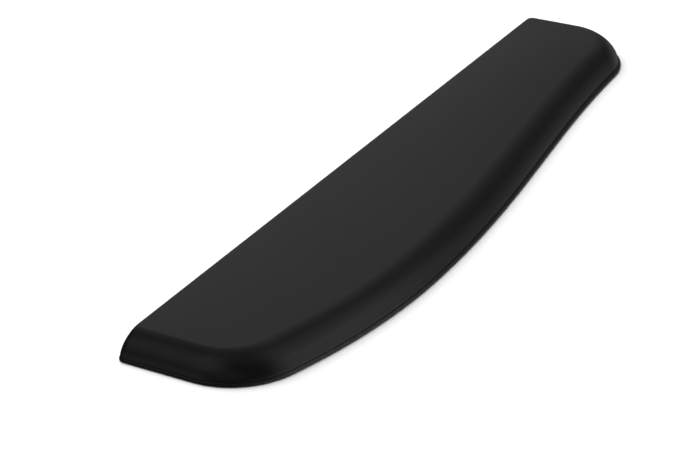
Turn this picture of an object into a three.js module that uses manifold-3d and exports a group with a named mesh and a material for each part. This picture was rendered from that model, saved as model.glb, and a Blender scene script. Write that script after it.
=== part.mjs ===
// Keyboard wrist rest: a leatherette-covered gel and foam pad on a moulded base with rubber feet.
//
// Millimetres, +Z up. The rest lies along X, its straight back edge faces the keyboard at +Y and its
// curved front edge faces the user at -Y. The front edge is deepest left of the middle, under the
// letter keys, and draws back towards the right end. The origin is on the desk, at the middle of the
// base's box.
//
// From the desk up: feet, base_plate, board_adhesive, carrier_board, foam_adhesive, foam_core,
// gel_bottom_film, gel_pad, gel_top_film and cover_skin, whose hem turns in under the carrier board.

import * as THREE from 'three';
import { mergeVertices } from 'three/addons/utils/BufferGeometryUtils.js';
import Module from 'manifold-3d';

const wasm = await Module();
wasm.setup();

// Driving dimensions.
const LENGTH = 445;
const DEPTH = 101;
const HEIGHT = 15.25;

// Plan outline, which is the outer edge of the base.
const BACK_Y = DEPTH / 2;
const BELLY_X = -83;
const BELLY_Y = -DEPTH / 2;
const BELLY_RADIUS = 358;
const NARROW_X = 214;
const NARROW_DEPTH = 75;
const FRONT_CORNER_RADIUS = 41;
const BACK_CORNER_RADIUS = 3.2;

// Cover: its foot stands a little inside the base's edge, and the ledge this leaves widens along the
// front, from its left end to its right end. The section is a quarter of a superellipse from there to
// the shoulder, and a low crown from the shoulder inwards. Power 2 is an ellipse, and nearer to 1 the
// wall leans more evenly.
const COVER_THICKNESS = 0.9;
const SIDES = {
  frontLeft: { foot: 0.5, width: 17.1, power: 1.75 },
  frontRight: { foot: 1.7, width: 15.9, power: 1.75 },
  left: { foot: 0.4, width: 12.8, power: 1.54 },
  right: { foot: 0.4, width: 10.9, power: 1.8 },
  back: { foot: 0.4, width: 3.1, power: 1.55 },
};
const CROWN_HEIGHT = 0.85;
const CROWN_REACH = 0.8;
const HEM_WIDTH = 9;
const FOLD_RADIUS = 0.3;

// Levels of the stack, each the height of a lower face above the desk.
const BASE_BOTTOM = 0.5;
const BASE_RIM_TOP = 2.5;
const COVER_FOOT = 2.6;
const PLATEAU_TOP = 3.6;
const ADHESIVE_THICKNESS = 0.2;
const BOARD_THICKNESS = 1.5;
const FOAM_THICKNESS = 3.2;
const FILM_THICKNESS = 0.15;
const LAYER_GAP = 0.1;
const SIDE_GAP = 0.3;

const BOARD_ADHESIVE_Z = PLATEAU_TOP + LAYER_GAP;
const BOARD_Z = BOARD_ADHESIVE_Z + ADHESIVE_THICKNESS + LAYER_GAP;
const FOAM_ADHESIVE_Z = BOARD_Z + BOARD_THICKNESS + LAYER_GAP;
const FOAM_Z = FOAM_ADHESIVE_Z + ADHESIVE_THICKNESS + LAYER_GAP;
const FOAM_TOP = FOAM_Z + FOAM_THICKNESS;
const BOTTOM_FILM_Z = FOAM_TOP + LAYER_GAP;
const GEL_Z = BOTTOM_FILM_Z + FILM_THICKNESS + LAYER_GAP;
const SHOULDER_Z = HEIGHT - CROWN_HEIGHT;

// Base plate.
const BASE_EDGE_ROUNDING = 0.3;
const RIM_ROUNDING_HEIGHT = 1.2;
const PLATEAU_MARGIN = 2 * SIDE_GAP;

// Feet: stadium-shaped rubber pads, let into pockets in the base.
const FOOT = { length: 46, width: 11, pocketDepth: 0.8, edgeRounding: 0.3 };
const FOOT_SETBACK = 14;
const FOOT_PLACES = [
  { name: 'foot_back_left', x: -182, side: 'back' },
  { name: 'foot_back_middle', x: 0, side: 'back' },
  { name: 'foot_back_right', x: 182, side: 'back' },
  { name: 'foot_front_left', x: -150, side: 'front' },
  { name: 'foot_front_middle', x: 0, side: 'front' },
  { name: 'foot_front_right', x: 158, side: 'front' },
];

// Steps along each stretch of the outline, and round the cover's section.
const STEPS = { back: 10, end: 3, backCorner: 3, frontCorner: 9, front: 30, section: 6, crown: 2 };

const material = (color, roughness, metalness = 0) =>
  new THREE.MeshStandardMaterial({ color, roughness, metalness });

const MATERIALS = {
  leatherette: material(0x2b2b2c, 0.5),
  film: material(0xbfc4c8, 0.25),
  gel: material(0x3c6f9a, 0.2),
  foam: material(0x3a3a3c, 0.95),
  adhesive: material(0xd8d2b8, 0.4),
  board: material(0x6b6b6b, 0.7),
  base: material(0x1d1d1e, 0.42),
  rubber: material(0x141414, 0.85),
};

// The front edge as a function of x: an arc left of the belly, and half a cosine wave right of it.
function frontY(x) {
  if (x <= BELLY_X) {
    const run = x - BELLY_X;
    return BELLY_Y + BELLY_RADIUS - Math.sqrt(BELLY_RADIUS ** 2 - run ** 2);
  }
  const narrowY = BACK_Y - NARROW_DEPTH;
  const t = Math.min((x - BELLY_X) / (NARROW_X - BELLY_X), 1);
  return BELLY_Y + (narrowY - BELLY_Y) * (1 - Math.cos(Math.PI * t)) / 2;
}

// Outward unit normal of the front edge at x.
function frontNormal(x) {
  const step = 0.01;
  const slope = (frontY(x + step) - frontY(x - step)) / (2 * step);
  const size = Math.hypot(slope, 1);
  return new THREE.Vector2(slope / size, -1 / size);
}

// The round corner between the front edge and the end at sign * LENGTH / 2: where it leaves the
// front edge, and its centre.
function frontCorner(sign) {
  const centreX = sign * (LENGTH / 2 - FRONT_CORNER_RADIUS);
  let x = centreX;
  for (let pass = 0; pass < 20; pass += 1) {
    x = centreX + FRONT_CORNER_RADIUS * frontNormal(x).x;
  }
  const normal = frontNormal(x);
  return {
    x,
    centre: new THREE.Vector2(centreX, frontY(x) - FRONT_CORNER_RADIUS * normal.y),
    angle: Math.atan2(normal.y, normal.x),
  };
}

const LEFT_CORNER = frontCorner(-1);
const RIGHT_CORNER = frontCorner(1);

// An inset is how far each side of an outline is moved in; the front goes evenly from one value at its
// left end to another at its right end.
const insetOf = (perSide) => ({
  frontLeft: perSide(SIDES.frontLeft),
  frontRight: perSide(SIDES.frontRight),
  left: perSide(SIDES.left),
  right: perSide(SIDES.right),
  back: perSide(SIDES.back),
});

const evenInset = (distance) => insetOf(() => distance);

// This far in from the foot of the cover.
const footInset = (distance) => insetOf((side) => side.foot + distance);

// How far a point of a front corner with this outward normal moves in, between its two sides.
function blend(inset, normal) {
  const endways = normal.x < 0 ? inset.left : inset.right;
  const sideways = normal.x < 0 ? inset.frontLeft : inset.frontRight;
  return endways * normal.x ** 2 + sideways * normal.y ** 2;
}

function arc(centre, radius, inset, from, to, steps) {
  const points = [];
  for (let i = 0; i <= steps; i += 1) {
    const angle = from + (to - from) * i / steps;
    const normal = new THREE.Vector2(Math.cos(angle), Math.sin(angle));
    points.push(centre.clone().addScaledVector(normal, radius - blend(inset, normal)));
  }
  return points;
}

// Points between two others, without either end.
function between(a, b, steps) {
  return Array.from({ length: steps - 1 }, (_, i) => a.clone().lerp(b, (i + 1) / steps));
}

// The plan outline with each side moved in, anticlockwise from above. It always has as many points.
function outline(inset) {
  const front = [];
  for (let i = 1; i < STEPS.front; i += 1) {
    const part = i / STEPS.front;
    const x = THREE.MathUtils.lerp(LEFT_CORNER.x, RIGHT_CORNER.x, part);
    const moved = THREE.MathUtils.lerp(inset.frontLeft, inset.frontRight, part);
    front.push(new THREE.Vector2(x, frontY(x)).addScaledVector(frontNormal(x), -moved));
  }
  const right = arc(RIGHT_CORNER.centre, FRONT_CORNER_RADIUS, inset, RIGHT_CORNER.angle, 0,
    STEPS.frontCorner);
  const left = arc(LEFT_CORNER.centre, FRONT_CORNER_RADIUS, inset, -Math.PI, LEFT_CORNER.angle,
    STEPS.frontCorner);
  const cornerX = LENGTH / 2 - BACK_CORNER_RADIUS;
  const cornerY = BACK_Y - inset.back - BACK_CORNER_RADIUS;
  const backRight = arc(new THREE.Vector2(cornerX - inset.right, cornerY), BACK_CORNER_RADIUS,
    evenInset(0), 0, Math.PI / 2, STEPS.backCorner);
  const backLeft = arc(new THREE.Vector2(inset.left - cornerX, cornerY), BACK_CORNER_RADIUS,
    evenInset(0), Math.PI / 2, Math.PI, STEPS.backCorner);
  return [
    ...front,
    ...right,
    ...between(right.at(-1), backRight[0], STEPS.end),
    ...backRight,
    ...between(backRight.at(-1), backLeft[0], STEPS.back),
    ...backLeft,
    ...between(backLeft.at(-1), left[0], STEPS.end),
    ...left,
  ];
}

const ring = (inset, z) => outline(inset).map((p) => new THREE.Vector3(p.x, p.y, z));

// How far in the surface lies that is this far inside the cover's outer face, at an angle of its
// section: 0 at the foot of the wall, a quarter turn at the shoulder.
function sectionInset(offset, angle) {
  const height = Math.sin(angle);
  return insetOf(({ foot, width, power }) => {
    const inward = 1 - (1 - height ** power) ** (1 / power);
    return foot + offset + (width - offset) * inward;
  });
}

function sectionRing(offset, angle) {
  const rise = SHOULDER_Z - offset - COVER_FOOT;
  return ring(sectionInset(offset, angle), COVER_FOOT + rise * Math.sin(angle));
}

function sectionAngle(offset, z) {
  return Math.asin((z - COVER_FOOT) / (SHOULDER_Z - offset - COVER_FOOT));
}

// The line that the crown rises towards: the middle of the rest, short of each end.
function ridgePoint(point) {
  const reach = LENGTH / 2 - DEPTH / 2;
  const x = THREE.MathUtils.clamp(point.x, -reach, reach);
  return new THREE.Vector2(x, (BACK_Y + frontY(x)) / 2);
}

// A ring of the crown: part 0 is the shoulder, and part 1 the flat top, short of the ridge line.
function crownRing(offset, part) {
  const rise = CROWN_HEIGHT * (1 - (1 - part) ** 2);
  return sectionRing(offset, Math.PI / 2).map((point) => {
    const ridge = ridgePoint(point);
    return new THREE.Vector3(
      THREE.MathUtils.lerp(point.x, ridge.x, CROWN_REACH * part),
      THREE.MathUtils.lerp(point.y, ridge.y, CROWN_REACH * part),
      point.z + rise,
    );
  });
}

// Rings from a height up over the shoulder to the crown, on the surface this far inside the cover.
function domeRings(offset, fromZ) {
  const start = sectionAngle(offset, fromZ);
  const rings = [];
  for (let i = 0; i <= STEPS.section; i += 1) {
    rings.push(sectionRing(offset, start + (Math.PI / 2 - start) * i / STEPS.section));
  }
  for (let i = 1; i <= STEPS.crown; i += 1) {
    rings.push(crownRing(offset, i / STEPS.crown));
  }
  return rings;
}

// Skin through rings with equal point counts, closed by a flat cap on the first and the last ring.
function loft(rings) {
  const count = rings[0].length;
  const positions = rings.flat().flatMap((p) => [p.x, p.y, p.z]);
  const indices = [];
  for (let r = 0; r + 1 < rings.length; r += 1) {
    for (let i = 0; i < count; i += 1) {
      const next = (i + 1) % count;
      const a = r * count + i;
      const b = r * count + next;
      const c = (r + 1) * count + next;
      const d = (r + 1) * count + i;
      indices.push(a, b, c, a, c, d);
    }
  }
  const cap = (points) => THREE.ShapeUtils.triangulateShape(
    points.map((p) => new THREE.Vector2(p.x, p.y)), []);
  const last = (rings.length - 1) * count;
  cap(rings[0]).forEach(([a, b, c]) => indices.push(c, b, a));
  cap(rings.at(-1)).forEach(([a, b, c]) => indices.push(last + a, last + b, last + c));
  const geometry = new THREE.BufferGeometry();
  geometry.setAttribute('position', new THREE.Float32BufferAttribute(positions, 3));
  geometry.setIndex(indices);
  return geometry;
}

// A flat sheet with the outline moved in.
const sheet = (inset, z, thickness) => loft([ring(inset, z), ring(inset, z + thickness)]);

function toSolid(geometry) {
  const bare = geometry.clone();
  bare.deleteAttribute('normal');
  bare.deleteAttribute('uv');
  const merged = mergeVertices(bare, 1e-4);
  return new wasm.Manifold(new wasm.Mesh({
    numProp: 3,
    vertProperties: new Float32Array(merged.attributes.position.array),
    triVerts: new Uint32Array(merged.index.array),
  }));
}

function toGeometry(solid) {
  const mesh = solid.getMesh();
  const geometry = new THREE.BufferGeometry();
  geometry.setAttribute('position', new THREE.BufferAttribute(mesh.vertProperties, 3));
  geometry.setIndex(new THREE.BufferAttribute(mesh.triVerts, 1));
  return geometry;
}

// One heat-formed skin: its ceiling, inner wall, hem and outer face in one run of rings.
function coverSkin() {
  const hemTop = COVER_FOOT + COVER_THICKNESS;
  return loft([
    ...domeRings(COVER_THICKNESS, hemTop).reverse(),
    ring(footInset(HEM_WIDTH), hemTop),
    ring(footInset(HEM_WIDTH), COVER_FOOT),
    ring(footInset(FOLD_RADIUS), COVER_FOOT),
    ...domeRings(0, COVER_FOOT + FOLD_RADIUS),
  ]);
}

// The films and fillings lie one inside the other, each a little clear of the next.
const TOP_FILM_OFFSET = COVER_THICKNESS + SIDE_GAP;
const GEL_OFFSET = TOP_FILM_OFFSET + FILM_THICKNESS + SIDE_GAP;

function gelTopFilm() {
  const innerOffset = TOP_FILM_OFFSET + FILM_THICKNESS;
  return loft([...domeRings(innerOffset, GEL_Z).reverse(), ...domeRings(TOP_FILM_OFFSET, GEL_Z)]);
}

const gelPad = () => loft(domeRings(GEL_OFFSET, GEL_Z));

function foamCore() {
  const from = sectionAngle(TOP_FILM_OFFSET, FOAM_Z);
  const to = sectionAngle(TOP_FILM_OFFSET, FOAM_TOP);
  const steps = 3;
  return loft(Array.from({ length: steps + 1 }, (_, i) =>
    sectionRing(TOP_FILM_OFFSET, from + (to - from) * i / steps)));
}

// Flat layers keep to the cover's inner wall at their own height.
function layer(z, thickness) {
  const inset = sectionInset(TOP_FILM_OFFSET, sectionAngle(TOP_FILM_OFFSET, z + thickness));
  return sheet(inset, z, thickness);
}

// Keeps 1 mm inside the edge of the base's plateau.
function boardAdhesive() {
  return sheet(footInset(HEM_WIDTH + PLATEAU_MARGIN + 1), BOARD_ADHESIVE_Z, ADHESIVE_THICKNESS);
}

function footOutline(length, width) {
  const reach = (length - width) / 2;
  const shape = new THREE.Shape();
  shape.absarc(reach, 0, width / 2, -Math.PI / 2, Math.PI / 2, false);
  shape.absarc(-reach, 0, width / 2, Math.PI / 2, Math.PI * 3 / 2, false);
  return shape;
}

// Places a foot, or the pocket it sits in, along the edge it belongs to.
function placeFoot(object, place) {
  const normal = place.side === 'front' ? frontNormal(place.x) : new THREE.Vector2(0, 1);
  const edgeY = place.side === 'front' ? frontY(place.x) : BACK_Y;
  object.position.set(
    place.x - FOOT_SETBACK * normal.x,
    edgeY - FOOT_SETBACK * normal.y,
    object.position.z,
  );
  object.rotation.z = place.side === 'front' ? Math.atan2(normal.x, -normal.y) : 0;
}

function footGeometry() {
  const height = BASE_BOTTOM + FOOT.pocketDepth - LAYER_GAP;
  const geometry = new THREE.ExtrudeGeometry(footOutline(FOOT.length, FOOT.width), {
    depth: height - FOOT.edgeRounding,
    bevelEnabled: true,
    bevelThickness: FOOT.edgeRounding / 2,
    bevelSize: FOOT.edgeRounding,
    bevelOffset: -FOOT.edgeRounding,
    bevelSegments: 1,
    curveSegments: 8,
  });
  geometry.translate(0, 0, FOOT.edgeRounding / 2);
  return geometry;
}

function pocket(place) {
  const shape = footOutline(FOOT.length + 2 * SIDE_GAP, FOOT.width + 2 * SIDE_GAP);
  const geometry = new THREE.ExtrudeGeometry(shape, {
    depth: BASE_BOTTOM + FOOT.pocketDepth,
    bevelEnabled: false,
    curveSegments: 8,
  });
  const cutter = new THREE.Object3D();
  placeFoot(cutter, place);
  cutter.updateMatrix();
  return toSolid(geometry.applyMatrix4(cutter.matrix));
}

// The base: a rim that rounds off up to the foot of the cover, a raised plateau that the hem lies
// round, and pockets for the feet.
function basePlate() {
  const halfway = Math.SQRT1_2;
  const plateauInset = footInset(HEM_WIDTH + PLATEAU_MARGIN);
  const blank = toSolid(loft([
    ring(evenInset(BASE_EDGE_ROUNDING), BASE_BOTTOM),
    ring(evenInset(0), BASE_BOTTOM + BASE_EDGE_ROUNDING),
    ring(evenInset(0), BASE_RIM_TOP - RIM_ROUNDING_HEIGHT),
    ring(insetOf(({ foot }) => foot * (1 - halfway)),
      BASE_RIM_TOP - RIM_ROUNDING_HEIGHT * (1 - halfway)),
    ring(footInset(0), BASE_RIM_TOP),
    ring(plateauInset, BASE_RIM_TOP),
    ring(plateauInset, PLATEAU_TOP),
  ]));
  return toGeometry(FOOT_PLACES.reduce((solid, place) => solid.subtract(pocket(place)), blank));
}

const rest = new THREE.Group();

function add(name, geometry, look) {
  const mesh = new THREE.Mesh(geometry, look);
  mesh.name = name;
  rest.add(mesh);
  return mesh;
}

add('base_plate', basePlate(), MATERIALS.base);
FOOT_PLACES.forEach((place) => placeFoot(add(place.name, footGeometry(), MATERIALS.rubber), place));
add('board_adhesive', boardAdhesive(), MATERIALS.adhesive);
add('carrier_board', layer(BOARD_Z, BOARD_THICKNESS), MATERIALS.board);
add('foam_adhesive', layer(FOAM_ADHESIVE_Z, ADHESIVE_THICKNESS), MATERIALS.adhesive);
add('foam_core', foamCore(), MATERIALS.foam);
add('gel_bottom_film', layer(BOTTOM_FILM_Z, FILM_THICKNESS), MATERIALS.film);
add('gel_pad', gelPad(), MATERIALS.gel);
add('gel_top_film', gelTopFilm(), MATERIALS.film);
add('cover_skin', coverSkin(), MATERIALS.leatherette);

export default rest;
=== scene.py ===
"""Keyboard wrist rest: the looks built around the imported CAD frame.

Lengths in the shape functions are millimetres, as in the CAD; make_piece() turns them into metres.
+X runs along the rest towards its narrow end, +Y towards the keyboard, +Z up from the desk.
"""

import math

import bmesh
import bpy
from mathutils import Matrix, Vector


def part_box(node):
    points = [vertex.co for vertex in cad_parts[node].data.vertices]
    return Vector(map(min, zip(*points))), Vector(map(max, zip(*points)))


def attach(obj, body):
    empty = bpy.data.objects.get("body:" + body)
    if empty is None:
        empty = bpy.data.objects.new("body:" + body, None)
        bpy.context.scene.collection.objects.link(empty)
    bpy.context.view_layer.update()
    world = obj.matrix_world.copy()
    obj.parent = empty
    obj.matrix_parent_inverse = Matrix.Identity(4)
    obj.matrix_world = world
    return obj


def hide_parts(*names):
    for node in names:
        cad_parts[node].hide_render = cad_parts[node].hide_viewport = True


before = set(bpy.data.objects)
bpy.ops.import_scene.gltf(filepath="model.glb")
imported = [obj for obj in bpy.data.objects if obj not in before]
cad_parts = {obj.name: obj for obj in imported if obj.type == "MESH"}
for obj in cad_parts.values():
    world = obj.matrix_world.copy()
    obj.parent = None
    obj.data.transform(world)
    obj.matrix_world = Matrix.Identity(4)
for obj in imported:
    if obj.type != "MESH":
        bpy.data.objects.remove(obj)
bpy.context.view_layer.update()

MM = 0.001


def box_mm(node):
    """The low and high corners of a CAD node's box, in millimetres."""
    low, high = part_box(node)
    return low / MM, high / MM


# Sizes read from the frame.
BASE_LOW, BASE_HIGH = box_mm("base_plate")
COVER_LOW, COVER_HIGH = box_mm("cover_skin")
LENGTH = BASE_HIGH.x - BASE_LOW.x
BACK_Y = BASE_HIGH.y
BELLY_Y = BASE_LOW.y
BASE_BOTTOM = BASE_LOW.z
PLATEAU_TOP = BASE_HIGH.z
COVER_FOOT = COVER_LOW.z
COVER_TOP = COVER_HIGH.z

# Plan outline, as in the CAD.
BELLY_X = -83
BELLY_RADIUS = 358
NARROW_X = 214
NARROW_DEPTH = 75
FRONT_CORNER_RADIUS = 41
BACK_CORNER_RADIUS = 3.2

# Cover section, as in the CAD. Each side is (inset of the foot, width, power) of a quarter of a
# superellipse, and the front goes evenly from its left end's insets to its right end's. The crown
# rises from the shoulder.
SIDES = {
    "front_left": (0.5, 17.1, 1.75),
    "front_right": (1.7, 15.9, 1.75),
    "left": (0.4, 12.8, 1.54),
    "right": (0.4, 10.9, 1.8),
    "back": (0.4, 3.1, 1.55),
}
CROWN_HEIGHT = 0.85
CROWN_REACH = 0.97
SHOULDER_Z = COVER_TOP - CROWN_HEIGHT
COVER_THICKNESS = 0.9
HEM_WIDTH = 9.0
FOLD_HEIGHT = 0.4
FOLD_DEPTH = 0.25  # as a share of the foot's inset

# Base, as in the CAD.
BASE_RIM_TOP = 2.5
BASE_EDGE_ROUNDING = 0.3
RIM_ROUNDING_HEIGHT = 1.2
SIDE_GAP = 0.3
PLATEAU_MARGIN = 2 * SIDE_GAP

# Feet, as in the CAD.
FOOT_LENGTH = 46
FOOT_WIDTH = 11
FOOT_SETBACK = 14
POCKET_DEPTH = 0.8
FOOT_PLACES = {
    "foot_back_left": (-182, "back"),
    "foot_back_middle": (0, "back"),
    "foot_back_right": (182, "back"),
    "foot_front_left": (-150, "front"),
    "foot_front_middle": (0, "front"),
    "foot_front_right": (158, "front"),
}

# Steps along each stretch of the outline, then up a section and over the crown.
STEPS = {"back": 90, "end": 16, "back_corner": 8, "front_corner": 28, "front": 110}
COVER_STEPS = (26, 22)
LINING_STEPS = (16, 12)
GEL_STEPS = (14, 12)
FOAM_STEPS = 6
FOLD_STEPS = 5
ROUNDING_STEPS = 6


# ---- Shapes ----

def front_y(x):
    """The front edge: an arc left of the belly, and half a cosine wave right of it."""
    if x <= BELLY_X:
        return BELLY_Y + BELLY_RADIUS - math.sqrt(BELLY_RADIUS ** 2 - (x - BELLY_X) ** 2)
    t = min((x - BELLY_X) / (NARROW_X - BELLY_X), 1)
    return BELLY_Y + (BACK_Y - NARROW_DEPTH - BELLY_Y) * (1 - math.cos(math.pi * t)) / 2


def front_normal(x):
    """The outward unit normal of the front edge at x."""
    step = 0.01
    slope = (front_y(x + step) - front_y(x - step)) / (2 * step)
    return Vector((slope, -1)).normalized()


def front_corner(sign):
    """Where the round corner leaves the front edge, its centre, and its first angle."""
    centre_x = sign * (LENGTH / 2 - FRONT_CORNER_RADIUS)
    x = centre_x
    for _ in range(20):
        x = centre_x + FRONT_CORNER_RADIUS * front_normal(x).x
    normal = front_normal(x)
    centre = Vector((centre_x, front_y(x) - FRONT_CORNER_RADIUS * normal.y))
    return x, centre, math.atan2(normal.y, normal.x)


def even_inset(distance):
    """An inset, which is how far each side of an outline is moved in, that is the same all round."""
    return {side: distance for side in SIDES}


def foot_inset(distance, share=1.0):
    """This far in from the foot of the cover, or from a share of the way to it."""
    return {side: foot * share + distance for side, (foot, _, _) in SIDES.items()}


def arc(centre, radius, inset, start, stop, steps):
    """A corner of the outline, whose inset blends between the two sides that meet there."""
    points = []
    for i in range(steps + 1):
        angle = start + (stop - start) * i / steps
        normal = Vector((math.cos(angle), math.sin(angle)))
        endways = inset["left"] if normal.x < 0 else inset["right"]
        sideways = inset["front_left"] if normal.x < 0 else inset["front_right"]
        moved = endways * normal.x ** 2 + sideways * normal.y ** 2
        points.append(centre + normal * (radius - moved))
    return points


def between(a, b, steps):
    """Points between two others, without either end."""
    return [a.lerp(b, i / steps) for i in range(1, steps)]


def outline(inset):
    """The plan outline with each side moved in, anticlockwise from above."""
    left_x, left_centre, left_angle = front_corner(-1)
    right_x, right_centre, right_angle = front_corner(1)
    front = []
    for i in range(1, STEPS["front"]):
        part = i / STEPS["front"]
        x = left_x + (right_x - left_x) * part
        moved = inset["front_left"] + (inset["front_right"] - inset["front_left"]) * part
        front.append(Vector((x, front_y(x))) - front_normal(x) * moved)
    radius = FRONT_CORNER_RADIUS
    right = arc(right_centre, radius, inset, right_angle, 0, STEPS["front_corner"])
    left = arc(left_centre, radius, inset, -math.pi, left_angle, STEPS["front_corner"])
    corner_x = LENGTH / 2 - BACK_CORNER_RADIUS
    corner_y = BACK_Y - inset["back"] - BACK_CORNER_RADIUS
    back_right = arc(Vector((corner_x - inset["right"], corner_y)), BACK_CORNER_RADIUS,
                     even_inset(0), 0, math.pi / 2, STEPS["back_corner"])
    back_left = arc(Vector((inset["left"] - corner_x, corner_y)), BACK_CORNER_RADIUS,
                    even_inset(0), math.pi / 2, math.pi, STEPS["back_corner"])
    return (front + right + between(right[-1], back_right[0], STEPS["end"])
            + back_right + between(back_right[-1], back_left[0], STEPS["back"])
            + back_left + between(back_left[-1], left[0], STEPS["end"]) + left)


def ring(inset, z):
    """The outline with this inset, at a height."""
    return [Vector((p.x, p.y, z)) for p in outline(inset)]


def section_ring(offset, angle):
    """A ring on the surface this far inside the cover's face: angle 0 at the foot of the wall."""
    height = math.sin(angle)
    inset = {}
    for side, (foot, width, power) in SIDES.items():
        inward = 1 - (1 - height ** power) ** (1 / power)
        inset[side] = foot + offset + (width - offset) * inward
    return ring(inset, COVER_FOOT + (SHOULDER_Z - offset - COVER_FOOT) * height)


def section_angle(offset, z):
    """The angle of that surface's section at a height."""
    return math.asin((z - COVER_FOOT) / (SHOULDER_Z - offset - COVER_FOOT))


def ridge_point(point):
    """The line along the middle of the rest that the crown rises towards."""
    reach = LENGTH / 2 - (BACK_Y - BELLY_Y) / 2
    x = max(-reach, min(reach, point.x))
    return Vector((x, (BACK_Y + front_y(x)) / 2))


def shoulder_inset(side):
    """How far in from the base's edge a side's shoulder lies."""
    foot, width, _ = SIDES[side]
    return foot + width


def crown_rise(x, y):
    """The crown's height over the shoulder: arched from front to back, and nearly level endways."""
    front = front_y(x) - shoulder_inset("front_left") / front_normal(x).y
    back = BACK_Y - shoulder_inset("back")
    left = shoulder_inset("left") - LENGTH / 2
    right = LENGTH / 2 - shoulder_inset("right")
    across = 2 * (y - front) / (back - front) - 1
    along = 2 * (x - left) / (right - left) - 1
    return CROWN_HEIGHT * max(1 - across ** 2, 0) * max(1 - along ** 8, 0)


def crown_ring(offset, part):
    """A ring of the crown: part 0 is the shoulder, and part 1 lies short of the ridge line."""
    points = []
    for point in section_ring(offset, math.pi / 2):
        flat = Vector((point.x, point.y)).lerp(ridge_point(point), CROWN_REACH * part)
        points.append(Vector((flat.x, flat.y, point.z + crown_rise(flat.x, flat.y))))
    return points


def dome_rings(offset, from_z, section_steps, crown_steps):
    """Rings from a height up over the shoulder and the crown, this far inside the cover's face."""
    start = section_angle(offset, from_z)
    rings = [section_ring(offset, start + (math.pi / 2 - start) * i / section_steps)
             for i in range(section_steps + 1)]
    return rings + [crown_ring(offset, i / crown_steps) for i in range(1, crown_steps + 1)]


def loft(rings):
    """A bmesh through rings with equal point counts, closed by a flat face at either end."""
    mesh = bmesh.new()
    rows = [[mesh.verts.new(p) for p in points] for points in rings]
    count = len(rows[0])
    for low, high in zip(rows, rows[1:]):
        for i in range(count):
            j = (i + 1) % count
            mesh.faces.new((low[i], low[j], high[j], high[i]))
    mesh.faces.new(list(reversed(rows[0])))
    mesh.faces.new(rows[-1])
    return mesh


def make_piece(name, mesh, look, smooth_angle):
    """Turns a bmesh in millimetres into an object that rides on the part's one body."""
    bmesh.ops.scale(mesh, vec=(MM, MM, MM), verts=mesh.verts)
    bmesh.ops.recalc_face_normals(mesh, faces=mesh.faces)
    data = bpy.data.meshes.new(name)
    mesh.to_mesh(data)
    mesh.free()
    data.shade_smooth()
    data.set_sharp_from_angle(angle=math.radians(smooth_angle))
    data.materials.append(look)
    piece = bpy.data.objects.new(name, data)
    bpy.context.scene.collection.objects.link(piece)
    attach(piece, "root")
    return piece


# ---- Materials ----

class Look:
    """A Principled material with helpers for the procedural nodes that feed it."""

    def __init__(self, name, roughness, **sockets):
        self.material = bpy.data.materials.new(name)
        self.material.use_nodes = True
        self.nodes = self.material.node_tree.nodes
        self.links = self.material.node_tree.links
        self.shader = self.nodes["Principled BSDF"]
        self.shader.inputs["Roughness"].default_value = roughness
        for socket, value in sockets.items():
            self.shader.inputs[socket.replace("_", " ")].default_value = value
        self.place = self.nodes.new("ShaderNodeTexCoord").outputs["Object"]

    def noise(self, scale, detail=3.0, stretch=None):
        node = self.nodes.new("ShaderNodeTexNoise")
        node.inputs["Scale"].default_value = scale
        node.inputs["Detail"].default_value = detail
        self.links.new(self.stretched(stretch), node.inputs["Vector"])
        return node.outputs["Fac"]

    def cells(self, scale, feature="F1"):
        node = self.nodes.new("ShaderNodeTexVoronoi")
        node.feature = feature
        node.inputs["Scale"].default_value = scale
        self.links.new(self.place, node.inputs["Vector"])
        return node.outputs["Distance"]

    def stretched(self, stretch):
        if stretch is None:
            return self.place
        node = self.nodes.new("ShaderNodeMapping")
        node.inputs["Scale"].default_value = stretch
        self.links.new(self.place, node.inputs["Vector"])
        return node.outputs["Vector"]

    def ranged(self, value, low, high):
        """Maps the middle of a noise's range, where most of its values lie."""
        node = self.nodes.new("ShaderNodeMapRange")
        node.inputs["From Min"].default_value = 0.3
        node.inputs["From Max"].default_value = 0.7
        node.inputs["To Min"].default_value = low
        node.inputs["To Max"].default_value = high
        self.links.new(value, node.inputs["Value"])
        return node.outputs["Result"]

    def colours(self, value, dark, light, low=0.35, high=0.65):
        """Colours the surface from dark at a low value to light at a high one."""
        ramp = self.nodes.new("ShaderNodeValToRGB")
        ramp.color_ramp.elements[0].position = low
        ramp.color_ramp.elements[0].color = (*dark, 1)
        ramp.color_ramp.elements[1].position = high
        ramp.color_ramp.elements[1].color = (*light, 1)
        self.links.new(value, ramp.inputs["Fac"])
        self.links.new(ramp.outputs["Color"], self.shader.inputs["Base Color"])

    def roughness(self, value, low, high):
        self.links.new(self.ranged(value, low, high), self.shader.inputs["Roughness"])

    def bump(self, *layers):
        """Each layer is (height, distance in millimetres); they add up."""
        normal = None
        for height, distance in layers:
            node = self.nodes.new("ShaderNodeBump")
            node.inputs["Strength"].default_value = 1.0
            node.inputs["Distance"].default_value = distance * MM
            self.links.new(height, node.inputs["Height"])
            if normal is not None:
                self.links.new(normal, node.inputs["Normal"])
            normal = node.outputs["Normal"]
        self.links.new(normal, self.shader.inputs["Normal"])


def leatherette():
    look = Look("leatherette", 0.28)
    look.colours(look.noise(60), (0.0085, 0.0085, 0.0087), (0.0105, 0.0105, 0.0107))
    look.roughness(look.noise(25, 5), 0.26, 0.3)
    look.bump(
        (look.cells(2600, "SMOOTH_F1"), 0.012),
        (look.noise(900, 4), 0.006),
    )
    return look.material


def moulded_plastic():
    look = Look("moulded_plastic", 0.25, IOR=1.45)
    look.colours(look.noise(40), (0.019, 0.019, 0.0195), (0.022, 0.022, 0.0225))
    look.roughness(look.noise(120, 4), 0.2, 0.3)
    look.bump((look.noise(3200, 2), 0.006))
    return look.material


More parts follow.
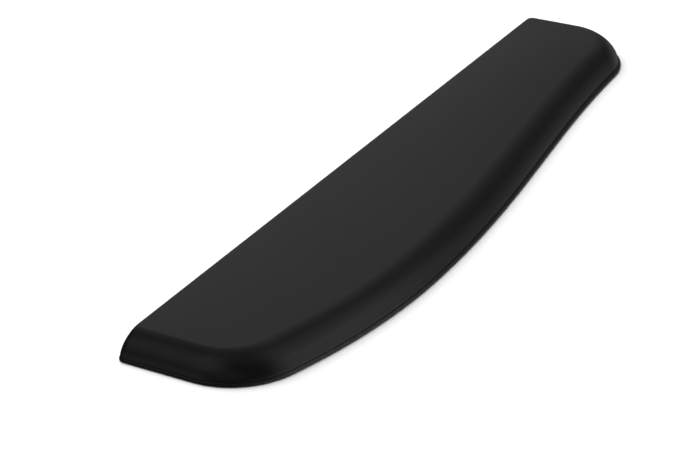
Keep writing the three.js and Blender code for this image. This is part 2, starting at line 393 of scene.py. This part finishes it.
def rubber():
    look = Look("rubber", 0.8)
    look.colours(look.noise(150), (0.010, 0.010, 0.010), (0.017, 0.017, 0.0165))
    look.roughness(look.noise(300, 5), 0.7, 0.9)
    look.bump((look.noise(2500, 3), 0.02))
    return look.material


def foam():
    look = Look("foam", 0.95, Sheen_Weight=0.2)
    # The colour follows the same cells as the bump and is darkest in their low middles: painted
    # shade in the foam's pores, over the foam's own grey.
    look.colours(look.cells(900), (0.02, 0.02, 0.022), (0.07, 0.07, 0.074), 0.1, 0.6)
    look.roughness(look.noise(200), 0.9, 1.0)
    look.bump((look.cells(900), 0.25))
    return look.material


def gel():
    look = Look("gel", 0.12, Subsurface_Weight=0.4, Subsurface_Scale=0.004, Coat_Weight=0.3)
    look.colours(look.noise(35), (0.045, 0.14, 0.28), (0.075, 0.2, 0.38))
    look.roughness(look.noise(90), 0.08, 0.2)
    look.bump((look.noise(70, 2), 0.15))
    return look.material


def film():
    look = Look("film", 0.2)
    look.colours(look.noise(50), (0.46, 0.5, 0.54), (0.56, 0.6, 0.64))
    look.roughness(look.noise(140, 4), 0.14, 0.3)
    look.bump((look.noise(45, 3, (1, 3, 1)), 0.08))
    return look.material


def adhesive():
    look = Look("adhesive", 0.35)
    look.colours(look.noise(80), (0.56, 0.51, 0.38), (0.66, 0.62, 0.5))
    look.roughness(look.noise(200), 0.25, 0.5)
    look.bump((look.noise(400, 3), 0.03))
    return look.material


def board():
    look = Look("board", 0.6)
    look.colours(look.noise(500, 4), (0.14, 0.14, 0.14), (0.19, 0.19, 0.187))
    look.roughness(look.noise(150), 0.5, 0.7)
    look.bump((look.noise(600, 4, (1, 6, 1)), 0.02))
    return look.material


# ---- Pieces ----

def make_cover(look):
    """One skin: crown, shoulder, wall, the fold at its foot, and the hem under the carrier board."""
    outer = dome_rings(0, COVER_FOOT + FOLD_HEIGHT, *COVER_STEPS)
    fold = []
    for i in range(FOLD_STEPS):
        angle = math.pi / 2 * i / FOLD_STEPS
        fold.append(ring(foot_inset(0, 1 + FOLD_DEPTH * (1 - math.sin(angle))),
                         COVER_FOOT + FOLD_HEIGHT * (1 - math.cos(angle))))
    hem_top = COVER_FOOT + COVER_THICKNESS
    inner = dome_rings(COVER_THICKNESS, hem_top, *LINING_STEPS)
    hem = [ring(foot_inset(HEM_WIDTH), hem_top), ring(foot_inset(HEM_WIDTH), COVER_FOOT)]
    mesh = loft(list(reversed(inner)) + hem + fold + outer)
    piece = make_piece("leatherette_cover", mesh, look, smooth_angle=50)
    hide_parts("cover_skin")


def make_base(look):
    """The base: rounded below, and from its edge up to the foot of the cover, with a plateau."""
    angles = [math.pi / 2 * i / ROUNDING_STEPS for i in range(ROUNDING_STEPS + 1)]
    rings = [ring(even_inset(BASE_EDGE_ROUNDING * (1 - math.sin(a))),
                  BASE_BOTTOM + BASE_EDGE_ROUNDING * (1 - math.cos(a))) for a in angles]
    rings += [ring(foot_inset(0, 1 - math.cos(a)),
                   BASE_RIM_TOP - RIM_ROUNDING_HEIGHT * (1 - math.sin(a))) for a in angles]
    plateau = foot_inset(HEM_WIDTH + PLATEAU_MARGIN)
    rings += [ring(plateau, BASE_RIM_TOP), ring(plateau, PLATEAU_TOP)]
    smooth_angle = 35
    piece = make_piece("moulded_base", loft(rings), look, smooth_angle)
    cutters = bmesh.new()
    for place in FOOT_PLACES.values():
        add_stadium(cutters, place, SIDE_GAP, BASE_BOTTOM - 1, BASE_BOTTOM + POCKET_DEPTH)
    cut(piece, cutters)
    piece.data.set_sharp_from_angle(angle=math.radians(smooth_angle))
    for face in piece.data.polygons:  # Level faces shade flat, so no rounding tints them.
        level = abs(face.normal.z) > 0.9999
        face.use_smooth = not level
    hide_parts("base_plate")


def cut(piece, cutters):
    """Cuts a bmesh in millimetres out of a piece, and keeps the result as its mesh."""
    bmesh.ops.scale(cutters, vec=(MM, MM, MM), verts=cutters.verts)
    data = bpy.data.meshes.new("cutters")
    cutters.to_mesh(data)
    cutters.free()
    tool = bpy.data.objects.new("cutters", data)
    bpy.context.scene.collection.objects.link(tool)
    modifier = piece.modifiers.new("cut", "BOOLEAN")
    modifier.operation = "DIFFERENCE"
    modifier.solver = "EXACT"
    modifier.object = tool
    depsgraph = bpy.context.evaluated_depsgraph_get()
    result = bpy.data.meshes.new_from_object(piece.evaluated_get(depsgraph))
    piece.modifiers.clear()
    old = piece.data
    piece.data = result
    bpy.data.meshes.remove(old)
    bpy.data.objects.remove(tool)
    bpy.data.meshes.remove(data)


def foot_matrix(place):
    """Where a foot stands: set back from the edge it belongs to, and turned along it."""
    x, side = place
    normal = front_normal(x) if side == "front" else Vector((0, 1))
    edge = Vector((x, front_y(x) if side == "front" else BACK_Y))
    centre = edge - normal * FOOT_SETBACK
    turn = math.atan2(normal.x, -normal.y) if side == "front" else 0
    return Matrix.Translation((centre.x, centre.y, 0)) @ Matrix.Rotation(turn, 4, "Z")


def stadium(grow, z, steps=20):
    """A foot's outline, grown or shrunk, at a height."""
    radius = FOOT_WIDTH / 2 + grow
    reach = (FOOT_LENGTH - FOOT_WIDTH) / 2
    points = []
    for sign, start in ((1, -math.pi / 2), (-1, math.pi / 2)):
        for i in range(steps + 1):
            angle = start + math.pi * i / steps
            points.append(Vector((sign * reach + radius * math.cos(angle),
                                  radius * math.sin(angle), z)))
    return points


def add_stadium(mesh, place, grow, low, high):
    """Adds a block with a foot's outline to a bmesh."""
    part = loft([stadium(grow, low), stadium(grow, high)])
    part.transform(foot_matrix(place))
    data = bpy.data.meshes.new("stadium")
    part.to_mesh(data)
    part.free()
    mesh.from_mesh(data)
    bpy.data.meshes.remove(data)


def make_foot(name, place, look):
    """A rubber pad with a rounded edge and a moulded channel round its sole."""
    low, high = box_mm(name)
    sole, top = low.z, high.z
    channel = sole + 0.22
    profile = [  # distance out from the pad's edge, height
        (-2.3, sole), (-2.1, channel), (-1.7, channel), (-1.5, sole),
        (-0.35, sole), (-0.12, sole + 0.1), (0, sole + 0.35), (0, top),
    ]
    mesh = loft([stadium(grow, z) for grow, z in profile])
    mesh.transform(foot_matrix(place))
    piece = make_piece("rubber_" + name, mesh, look, smooth_angle=30)
    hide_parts(name)


def shrunk(points, distance, z):
    """A ring moved in towards the middle of the rest by about this distance, at a height."""
    moved = []
    for point in points:
        inward = (ridge_point(point) - Vector((point.x, point.y))).normalized()
        moved.append(Vector((point.x + inward.x * distance, point.y + inward.y * distance, z)))
    return moved


def depth_in_cover(node):
    """How far inside the cover's outer face a node's top lies."""
    return COVER_TOP - box_mm(node)[1].z


def make_filling(name, node, offset, look):
    """A soft layer that fills the space of its CAD solid, with softly rounded edges."""
    low, high = box_mm(node)
    rounding = 0.35
    halfway = rounding * 0.3  # The middle of the rounding's arc lies this far from both faces.
    if node == "gel_pad":
        rings = dome_rings(offset, low.z + rounding, *GEL_STEPS)
    else:
        start = section_angle(offset, low.z + rounding)
        stop = section_angle(offset, high.z - rounding)
        rings = [section_ring(offset, start + (stop - start) * i / FOAM_STEPS)
                 for i in range(FOAM_STEPS + 1)]
        top = rings[-1]
        rings.append(shrunk(top, halfway, high.z - halfway))
        rings.append(shrunk(top, rounding, high.z))
    foot = rings[0]
    below = [shrunk(foot, rounding, low.z), shrunk(foot, halfway, low.z + halfway)]
    piece = make_piece(name, loft(below + rings), look, smooth_angle=60)
    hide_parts(node)


def carry(nodes, look):
    """Gives CAD nodes that keep their own shape a new material."""
    for name in nodes:
        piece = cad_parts[name]
        piece.data.materials.clear()
        piece.data.materials.append(look)


def make_floor():
    """A pale floor, which neither lights nor shades the rest: the studio alone lights that."""
    half_width = 12.0
    mesh = bmesh.new()
    bmesh.ops.create_grid(mesh, x_segments=1, y_segments=1, size=half_width)
    data = bpy.data.meshes.new("floor")
    mesh.to_mesh(data)
    mesh.free()
    floor = bpy.data.objects.new("floor", data)
    bpy.context.scene.collection.objects.link(floor)
    look = Look("studio_floor", 0.9, Specular_IOR_Level=0.1)
    look.colours(look.noise(3), (0.87, 0.87, 0.87), (0.88, 0.88, 0.88))
    data.materials.append(look.material)
    floor.visible_glossy = False
    floor.visible_diffuse = False
    floor.visible_shadow = False
    return floor


# ---- Camera and light ----

def make_camera():
    """The viewing angle: azimuth and elevation towards the camera, its roll, and where it looks."""
    azimuth, elevation, roll = (math.radians(a) for a in (-57.71, 27.79, -2.9))
    target = Vector((-0.0519, 0.0261, 0))
    distance = 1.2743
    lens = 126.23
    back = Vector((math.sin(azimuth) * math.cos(elevation),
                   -math.cos(azimuth) * math.cos(elevation), math.sin(elevation)))
    right = Vector((math.cos(azimuth), math.sin(azimuth), 0))
    up = back.cross(right)
    turned_right = right * math.cos(roll) + up * math.sin(roll)
    turned_up = up * math.cos(roll) - right * math.sin(roll)
    data = bpy.data.cameras.new("camera")
    data.sensor_width = 36
    data.lens = lens
    data.clip_start = 0.05
    camera = bpy.data.objects.new("camera", data)
    rotation = Matrix((turned_right, turned_up, back)).transposed().to_4x4()
    camera.matrix_world = Matrix.Translation(target + back * distance) @ rotation
    bpy.context.scene.collection.objects.link(camera)
    bpy.context.scene.camera = camera


def heading(degrees, elevation):
    """A direction: degrees round from +X towards +Y, and up from the floor."""
    turn, rise = math.radians(degrees), math.radians(elevation)
    return (math.cos(turn) * math.cos(rise), math.sin(turn) * math.cos(rise), math.sin(rise))


def make_studio():
    """A dim room with soft glows round the rest, as smooth lobes of the world's brightness.

    The camera sees a plain white backdrop in its place.
    """
    room_level = 0.06
    glow_reach = 30  # degrees from a glow's middle to where it has faded out
    glows = [  # heading, elevation, strength
        # Past the far end: the sheen of the top and of the far end.
        (32, 25, 0.13), (52, 25, 0.08), (45, 50, 0.155), (10, 50, 0.11),
        (42, 0, 0.15), (-10, -7, 0.18),
        # The user's side, from the floor up: the front wall and the rim below it.
        (-60, -28, 0.42), (-90, -28, 0.4), (-125, -28, 0.2),
        (-55, 0, 0.18), (-80, 0, 0.25),
        (-50, 25, 0.26), (-75, 25, 0.31), (-50, 50, 0.37),
        # Overhead, and past the left front corner: that corner.
        (0, 90, 0.08), (-165, 25, 0.1),
        # Beyond the left end: its wall.
        (150, 0, 0.21), (150, 50, 0.32), (100, 60, 0.09),
    ]
    world = bpy.data.worlds.new("studio")
    world.use_nodes = True
    nodes, links = world.node_tree.nodes, world.node_tree.links
    towards = nodes.new("ShaderNodeTexCoord").outputs["Generated"]
    total = None
    for turn, rise, strength in glows:
        dot = nodes.new("ShaderNodeVectorMath")
        dot.operation = "DOT_PRODUCT"
        dot.inputs[1].default_value = heading(turn, rise)
        links.new(towards, dot.inputs[0])
        fade = nodes.new("ShaderNodeMapRange")
        fade.interpolation_type = "SMOOTHSTEP"
        fade.inputs["From Min"].default_value = math.cos(math.radians(glow_reach))
        fade.inputs["From Max"].default_value = 1.0
        fade.inputs["To Max"].default_value = strength
        links.new(dot.outputs["Value"], fade.inputs["Value"])
        add = nodes.new("ShaderNodeMath")
        add.operation = "ADD"
        add.inputs[1].default_value = room_level
        links.new(fade.outputs["Result"], add.inputs[0])
        if total is not None:
            links.new(total, add.inputs[1])
        total = add.outputs["Value"]
    backdrop = nodes.new("ShaderNodeMix")
    backdrop.inputs["B"].default_value = 1.0
    links.new(nodes.new("ShaderNodeLightPath").outputs["Is Camera Ray"], backdrop.inputs["Factor"])
    links.new(total, backdrop.inputs["A"])
    nodes["Background"].inputs["Color"].default_value = (1, 1, 1, 1)
    links.new(backdrop.outputs["Result"], nodes["Background"].inputs["Strength"])
    bpy.context.scene.world = world
    bpy.context.scene.view_settings.view_transform = "Standard"


def light_floor(floor):
    """A broad light from above and behind, which only the floor receives, with the rest's shadow."""
    data = bpy.data.lights.new("floor_light", "SUN")
    data.energy = 4.75
    data.angle = math.radians(100)
    light = bpy.data.objects.new("floor_light", data)
    light.rotation_euler = Vector(heading(78, 50)).to_track_quat("Z", "Y").to_euler()
    light.visible_glossy = False
    receivers = bpy.data.collections.new("floor_light_receivers")
    receivers.objects.link(floor)
    light.light_linking.receiver_collection = receivers
    bpy.context.scene.collection.objects.link(light)


make_camera()
make_studio()
light_floor(make_floor())
make_cover(leatherette())
make_base(moulded_plastic())
rubber_look = rubber()
for foot_name, foot_place in FOOT_PLACES.items():
    make_foot(foot_name, foot_place, rubber_look)
# The foam's wall is in line with the top film's.
make_filling("foam_filling", "foam_core", depth_in_cover("gel_top_film"), foam())
make_filling("gel_filling", "gel_pad", depth_in_cover("gel_pad"), gel())
carry(["gel_top_film", "gel_bottom_film"], film())
carry(["foam_adhesive", "board_adhesive"], adhesive())
carry(["carrier_board"], board())
